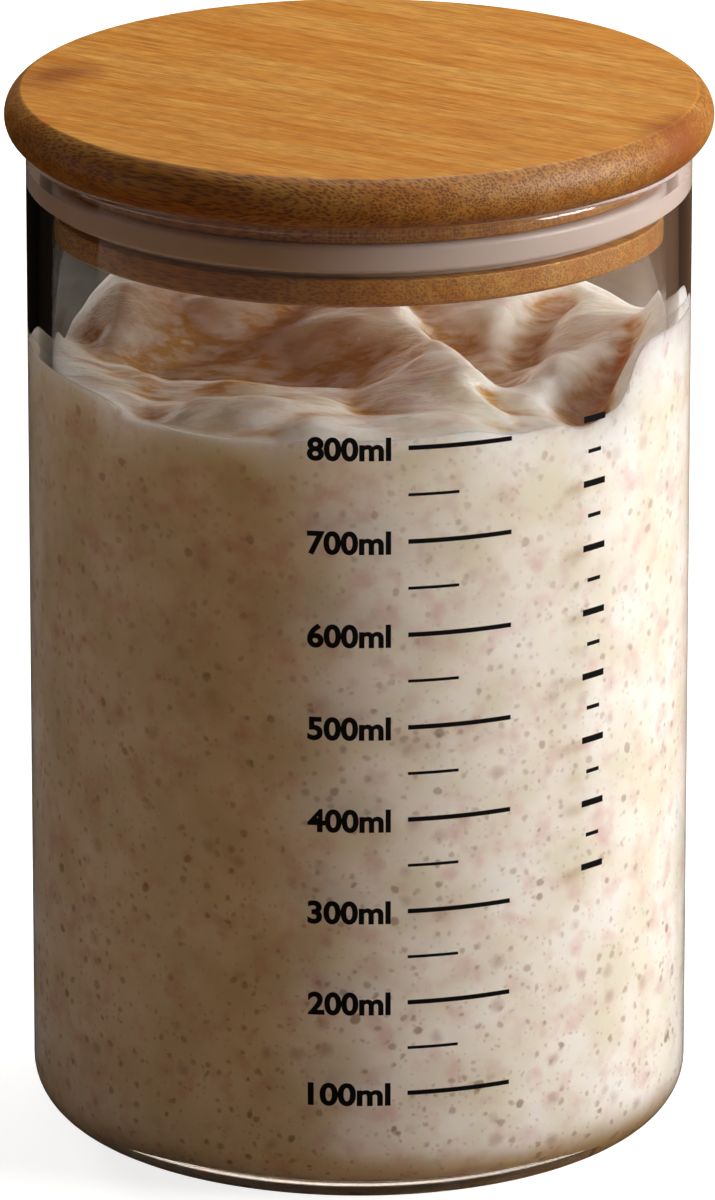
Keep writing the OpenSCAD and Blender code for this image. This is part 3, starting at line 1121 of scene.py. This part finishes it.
class STARTERJAR_OT_stage(Operator):
    """Pale floor, soft lamps, white surroundings, and the camera at the photograph's angle."""

    bl_idname = "starter_jar.stage"
    bl_label = "Stage"

    FLOOR_HALF = 8.0
    # The floor lies just under the jar's foot
    FLOOR_DROP = 0.1 * MM
    CARD_REACH = 1.2
    # Cards round the jar: how far they stand to the sides and behind, and how high they are
    SIDE, BEHIND, TALL = 0.125, 0.12, 0.3

    def execute(self, context):
        scene = context.scene
        stage = scene.starter_jar_stage
        white = finish_named("studio_floor", floor_finish, stage)
        stage_sheet("studio_floor", white, square(self.FLOOR_HALF, -self.FLOOR_DROP))
        # The glass mirrors a black floor, and shows a pale one through it, so that no haze veils it
        # Both cards glow: a painted dark reflection, and a painted pale floor seen through the glass
        around = square(self.CARD_REACH, 0)
        black = finish_named("glowing_black_card", glowing_card_finish, "#120e0b", "#120e0b")
        stage_card("black_floor_card", black, around, through=False)
        pale = finish_named("glowing_pale_card", glowing_card_finish, "#968c83", "#968c83")
        stage_card("pale_floor_card", pale, around, mirrored=False)
        # Cards beside and behind the jar give its empty part the photograph's dark surroundings
        # These cards glow with painted shade, dark on the left, and with painted light, tan on the right
        shaded = finish_named("glowing_shaded_card", glowing_card_finish, "#130e0a", "#7a5d49")
        side, behind, tall = self.SIDE, self.BEHIND, self.TALL
        for name, (ax, ay), (bx, by) in (
            ("left_card", (-side, 0), (-side, behind)),
            ("back_card", (-side, behind), (side, behind)),
            ("right_card", (side, 0), (side, behind)),
        ):
            stage_card(name, shaded, [(ax, ay, 0), (bx, by, 0), (bx, by, tall), (ax, ay, tall)])

        scene.world = studio_world(stage)
        softbox("key_softbox", 76, 20, 1.2, 0.45, stage.key_power, mirrored=True)
        softbox("high_softbox", 81, 42, 1.2, 0.45, stage.high_power, mirrored=True)
        softbox("top_softbox", 150, 70, 1.1, 0.7, stage.top_power, mirrored=True)
        softbox("back_softbox", 132, 12, 1.2, 0.3, stage.back_power, mirrored=False)
        softbox("rear_softbox", 200, 14, 1.2, 0.3, stage.rear_power, mirrored=False)
        softbox("left_softbox", -100, 15, 1.2, 0.5, stage.left_power, mirrored=False)

        camera = bpy.data.cameras.new("photo_camera")
        camera.sensor_width = SENSOR_MM
        camera.lens = FOCAL_PX * SENSOR_MM / FRAME_HEIGHT_PX
        camera.clip_start, camera.clip_end = 0.05, 50
        holder = bpy.data.objects.new("photo_camera", camera)
        stand_off(holder, 0, CAMERA_ELEVATION, CAMERA_DISTANCE)
        holder.location.x -= SIDE_OFFSET_PX * CAMERA_DISTANCE / FOCAL_PX
        scene.camera = holder
        scene.view_settings.view_transform = "Standard"
        return {"FINISHED"}


class STARTERJAR_PT_panel(Panel):
    """Lists the jar's pieces, and what can be changed in them."""

    bl_label = "Starter Jar"
    bl_idname = "STARTERJAR_PT_panel"
    bl_space_type = "VIEW_3D"
    bl_region_type = "UI"
    bl_category = "Starter Jar"

    def draw(self, context):
        for operator in OPERATORS:
            self.layout.operator(operator.bl_idname)
        scene = context.scene
        for group in (scene.starter_jar_sizes, scene.starter_jar_colours, scene.starter_jar_stage):
            box = self.layout.box()
            for key in group.__annotations__:
                box.prop(group, key)


OPERATORS = (
    STARTERJAR_OT_glass,
    STARTERJAR_OT_dough,
    STARTERJAR_OT_lid_top,
    STARTERJAR_OT_lid_plug,
    STARTERJAR_OT_seal,
    STARTERJAR_OT_scale,
    STARTERJAR_OT_ruler,
    STARTERJAR_OT_stage,
)
GROUPS = (StarterJarSizes, StarterJarColours, StarterJarStage)


def register():
    for cls in (*GROUPS, *OPERATORS, STARTERJAR_PT_panel):
        bpy.utils.register_class(cls)
    bpy.types.Scene.starter_jar_sizes = PointerProperty(type=StarterJarSizes)
    bpy.types.Scene.starter_jar_colours = PointerProperty(type=StarterJarColours)
    bpy.types.Scene.starter_jar_stage = PointerProperty(type=StarterJarStage)


def unregister():
    del bpy.types.Scene.starter_jar_stage
    del bpy.types.Scene.starter_jar_colours
    del bpy.types.Scene.starter_jar_sizes
    for cls in (STARTERJAR_PT_panel, *reversed(OPERATORS), *reversed(GROUPS)):
        bpy.utils.unregister_class(cls)


def main():
    register()
    bpy.ops.starter_jar.glass()
    bpy.ops.starter_jar.dough()
    bpy.ops.starter_jar.lid_top()
    bpy.ops.starter_jar.lid_plug()
    bpy.ops.starter_jar.seal()
    bpy.ops.starter_jar.scale()
    bpy.ops.starter_jar.ruler()
    bpy.ops.starter_jar.stage()


if __name__ == "__main__":
    main()
